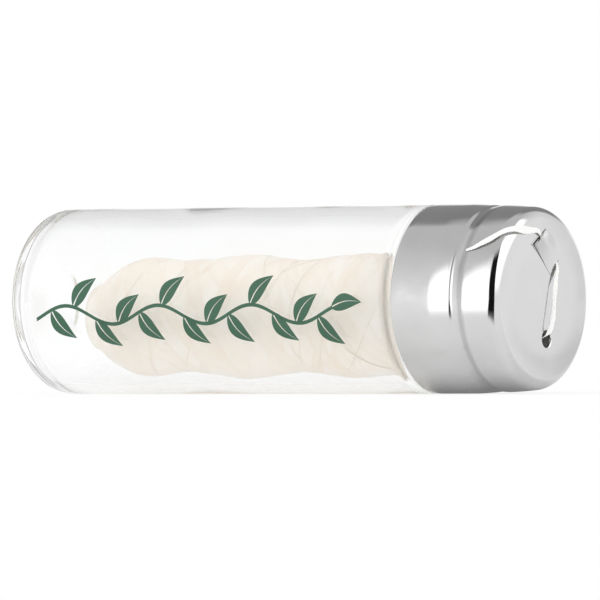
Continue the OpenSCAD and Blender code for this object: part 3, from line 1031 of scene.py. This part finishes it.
# How far the winding's mean lies under the outline, and the least wall round the hole
BASE_SINK = 0.15
LEAST_WALL = 0.5
# The unevenness fades out over this share at each end. An end sinks in, bulges back out with ripples, and
# eases in over this share of its radius.
END_FADE = 0.03
END_SINK = 0.35
END_BULGE, END_RIPPLE = 0.35, 0.05
END_EASE = 0.25
# The loose hairs: their number, the points and sides of each, and its thickness
HAIRS = 16
HAIR_POINTS = 90
HAIR_SIDES = 6
HAIR_T = 0.04


def spool_radius(t):
    """Radius of the spool at a share of its length."""
    low = 1 - np.clip(t / LOW_SHARE, 0, 1)
    high = 1 - np.clip((1 - t) / HIGH_SHARE, 0, 1)
    swell = SWELL_MEAN + SWELL_DEPTH * np.cos(2 * math.pi * (t - SWELL_CREST) / SWELL_WAVE)
    return RIM_R * swell * (1 - LOW_CUT * low**LOW_CURVE) * np.sqrt(1 - high**2 * (1 - HIGH_LEAST**2))


def softened(height, times):
    """Blurs a grid that closes on itself across, and keeps its ends."""
    for _ in range(times):
        height = (np.roll(height, 1, 1) + 2 * height + np.roll(height, -1, 1)) / 4
        middle = (height[:-2] + 2 * height[1:-1] + height[2:]) / 4
        height = np.concatenate([height[:1], middle, height[-1:]])
    return height


def phase():
    """A random shift of a wave, in radians."""
    return rng.uniform(0, 6)


def winding(along, angles):
    """Lays bands of floss over a grid. Gives the height, and where each point lies in its top band, with that
    band's tone and its painted edge shade.
    """
    height = np.zeros(along.shape)
    fibre = np.zeros(along.shape + (3,))
    for _ in range(BANDS):
        hand = rng.choice((-1, 1))
        pitch = rng.uniform(14, 34)
        half = rng.uniform(0.5, 1.9)
        thick = rng.uniform(0.02, 0.08)
        start = rng.uniform(0, pitch)
        wander = 0.9 * np.sin(angles + phase()) + 0.5 * np.sin(2 * angles + phase())
        wander = wander + 0.4 * np.sin(along * 0.35 + phase())
        slope = pitch / (2 * math.pi * RIM_R)
        lean = 1 / math.hypot(1, slope)
        turn = (along + wander - start) / pitch - hand * angles / (2 * math.pi)
        off = (turn - np.round(turn)) * pitch * lean
        inside = np.abs(off) < half
        profile = np.clip(1 - (off / half) ** 2, 0, 1) ** 0.5
        height = np.where(inside, height * 0.9 + thick * profile, height)
        run = hand * angles * RIM_R / lean + along * slope
        # Each band's tone differs at random, and is painted darker towards its edges as shade in the creases
        # between bands
        tone_and_edge_shade = rng.uniform(-0.1, 0.1) + 0.1 * (1 - profile)
        band = np.stack([off + rng.uniform(0, 50), run, tone_and_edge_shade], -1)
        fibre = np.where(inside[..., None], band, fibre)
    return softened(height, BAND_BLURS), fibre


def loose_hairs():
    """Fine single fibres that lie over the winding: flat ribbons on long crossing turns."""
    points, faces, marks = [], [], []
    t = np.linspace(0, 1, HAIR_POINTS)
    for _ in range(HAIRS):
        hand = rng.choice((-1, 1))
        s = rng.uniform(2, SPOOL_L - 8) + t * rng.uniform(4, 16) + 0.3 * np.sin(9 * t + phase())
        s = np.clip(s, 0.8, SPOOL_L - 0.8)
        a = rng.uniform(0, 6.28) + hand * t * rng.uniform(2, 5)
        r = spool_radius(s / SPOOL_L) - 0.1 + 0.04 * np.sin(7 * t + phase())
        path = np.stack([r * np.cos(a), r * np.sin(a), s], -1)
        facing = np.stack([np.cos(a), np.sin(a), 0 * a], -1)
        ends = np.sqrt(np.clip(1 - (2 * t - 1) ** 8, 0.02, 1))
        ring, hair_faces = ribbon(path, facing, rng.uniform(0.06, 0.14) * ends, HAIR_T * ends, HAIR_SIDES)
        start = len(points)
        points += list(place(SPOOL_LOW + ring[:, 2], ring[:, 0], ring[:, 1] - SPOOL_DROP))
        faces += [tuple(start + k for k in f) for f in hair_faces]
        marks += [(j * 0.1, i, -0.05) for i in range(HAIR_POINTS) for j in range(HAIR_SIDES)]
    return points, faces, marks


def end_rings(rim, rim_at, end_at, sign, angles):
    """Rings (along, radius) of one bulging end of the spool, from its rim in to its hole."""
    rings = []
    for share in np.linspace(1, 0, 14)[1:]:
        r = SPOOL_HOLE_R + (rim - SPOOL_HOLE_R) * share
        bulge = END_BULGE * math.sin(math.pi * share) + END_RIPPLE * np.sin(9 * share + 3 * angles)
        inward = smooth(np.array((1 - share) / END_EASE))
        rings.append((rim_at * (1 - inward) + (end_at + sign * bulge) * inward, r))
    return rings


def make_spool():
    t = np.linspace(0, 1, SPOOL_ROWS + 1)
    angles = np.linspace(0, 2 * math.pi, SPOOL_COLS, endpoint=False)
    along, turn = np.meshgrid(t * SPOOL_L, angles, indexing="ij")

    def around(s, r, a):
        return place(s, r * np.cos(a), r * np.sin(a) - SPOOL_DROP)

    height, fibre = winding(along, turn)
    fade = np.minimum(1, np.minimum(t / END_FADE, (1 - t) / END_FADE))[:, None]
    radius = spool_radius(t)[:, None] - BASE_SINK + (height - height.mean()) * fade
    radius = np.maximum(radius, SPOOL_HOLE_R + LEAST_WALL)
    points = [around(SPOOL_LOW + along, radius, turn).reshape(-1, 3)]
    marks = [fibre.reshape(-1, 3)]
    rings = end_rings(radius[-1], SPOOL_LOW + along[-1, 0], SPOOL_HIGH - END_SINK, 1, angles)
    rings += [
        (s, np.full(SPOOL_COLS, SPOOL_HOLE_R)) for s in np.linspace(SPOOL_HIGH - 1, SPOOL_LOW + 1, 30)
    ]
    rings += end_rings(radius[0], SPOOL_LOW + along[0, 0], SPOOL_LOW + END_SINK, -1, angles)[::-1]
    for s, r in rings:
        points.append(around(s + 0 * angles, r, angles))
        marks.append(np.stack([r, angles * 7, 0 * angles], -1))
    points = np.concatenate(points)
    faces = ring_faces(len(points) // SPOOL_COLS, SPOOL_COLS, closed=True)
    hairs, hair_faces, hair_marks = loose_hairs()
    faces += [tuple(len(points) + k for k in f) for f in hair_faces]
    marks.append(np.array(hair_marks, float))
    spool = outward(mesh_object("silk_spool", np.concatenate([points, hairs]), faces))
    attribute = spool.data.attributes.new("fibre", "FLOAT_VECTOR", "POINT")
    attribute.data.foreach_set("vector", np.concatenate(marks).astype(np.float32).ravel())
    silk = silk_material("silk_winding", colour(255, 250, 243), colour(247, 231, 214))
    dress(spool, silk, "spool")
    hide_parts("floss_core", "floss_winding")


make_spool()


# The generic green print on the glass: a leafy stem. Its points are (along the vial, round the barrel).

# How far the enamel stands on the glass, where the stem starts and ends, and its half width
PRINT_LIFT = 0.02
STEM_FROM, STEM_TO = 5.0, 46.5
STEM_HALF = 0.22
# The stem swings about a middle line, in waves of this length, and crosses that line here
STEM_MIDDLE = -1.6
STEM_SWING = 1.1
STEM_WAVE = 13
STEM_CROSSING = 6
# How far the leaves keep from the two ends of the stem, and the step between them
LEAF_FIRST, LEAF_LAST, LEAF_STEP = 2.2, 1.5, 3.1
# Angle, length and width of the leaves, and of the tip's leaf, which starts this far before the stem's end
LEAF_ANGLE = math.radians(48)
LEAF_SIZE = (4.6, 2.0)
TIP_ANGLE = math.radians(8)
TIP_SIZE = (4.2, 1.9)
TIP_SINK = 0.2
# A leaf's bend as a share of its length, its least half width, and half its midrib at the root
LEAF_BEND = 0.1
LEAF_EDGE = 0.015
MIDRIB = 0.09


def stem_at(s):
    """How far round the barrel the stem lies at a length along it."""
    return STEM_MIDDLE + STEM_SWING * math.sin(2 * math.pi * (s - STEM_CROSSING) / STEM_WAVE)


def leaf_halves(root, angle, size):
    """The two halves of a pointed leaf, as rows of points with a bare midrib between them."""
    length, width = size
    c, d = math.cos(angle), math.sin(angle)
    up = 1 if d > 0 else -1
    halves = []
    for side in (-1, 1):
        rows = []
        for t in np.linspace(0.0, 1, 19):
            half = width / 2 * math.sin(math.pi * t**0.75) + LEAF_EDGE
            rib = min(MIDRIB * (1 - t), half * 0.5)
            bend = LEAF_BEND * length * math.sin(math.pi * t) * up
            rows.append([
                (root[0] + t * length * c - (bend + w) * d, root[1] + t * length * d + (bend + w) * c)
                for w in np.linspace(side * rib, side * half, 5)[::side]
            ])
        halves.append(rows)
    return halves


def make_print():
    path = np.linspace(STEM_FROM, STEM_TO, 120)
    patches = [[[(s, stem_at(s) + w) for w in np.linspace(-STEM_HALF, STEM_HALF, 3)] for s in path]]
    for k, s in enumerate(np.arange(STEM_FROM + LEAF_FIRST, STEM_TO - LEAF_LAST, LEAF_STEP)):
        patches += leaf_halves((s, stem_at(s)), LEAF_ANGLE * (1 if k % 2 else -1), LEAF_SIZE)
    patches += leaf_halves((STEM_TO - TIP_SINK, stem_at(STEM_TO)), TIP_ANGLE, TIP_SIZE)
    points, faces = [], []
    r = VIAL_R + PRINT_LIFT
    for rows in patches:
        n = len(rows[0])
        for i in range(len(rows) - 1):
            for j in range(n - 1):
                k = len(points) + i * n + j
                faces.append((k, k + 1, k + n + 1, k + n))
        for s, swung in (point for row in rows for point in row):
            points.append(place(s, -r * math.cos(swung / VIAL_R), r * math.sin(swung / VIAL_R)))
    dress(mesh_object("leaf_print", points, faces), print_material(), "vial")


make_print()


# The pieces that keep their CAD shape

def shade_cad(name, material):
    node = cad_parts[name]
    node.data.materials.clear()
    node.data.materials.append(material)


shade_cad("cap_insert", plastic_material())
shade_cad("sealing_ring", foam_material())

# Plain colours, and enough bounces for both walls of the glass with the steel beside them
bpy.context.scene.view_settings.view_transform = "Standard"
bpy.context.scene.cycles.caustics_refractive = False
bpy.context.scene.cycles.max_bounces = 24
bpy.context.scene.cycles.glossy_bounces = 12
bpy.context.scene.cycles.transmission_bounces = 24
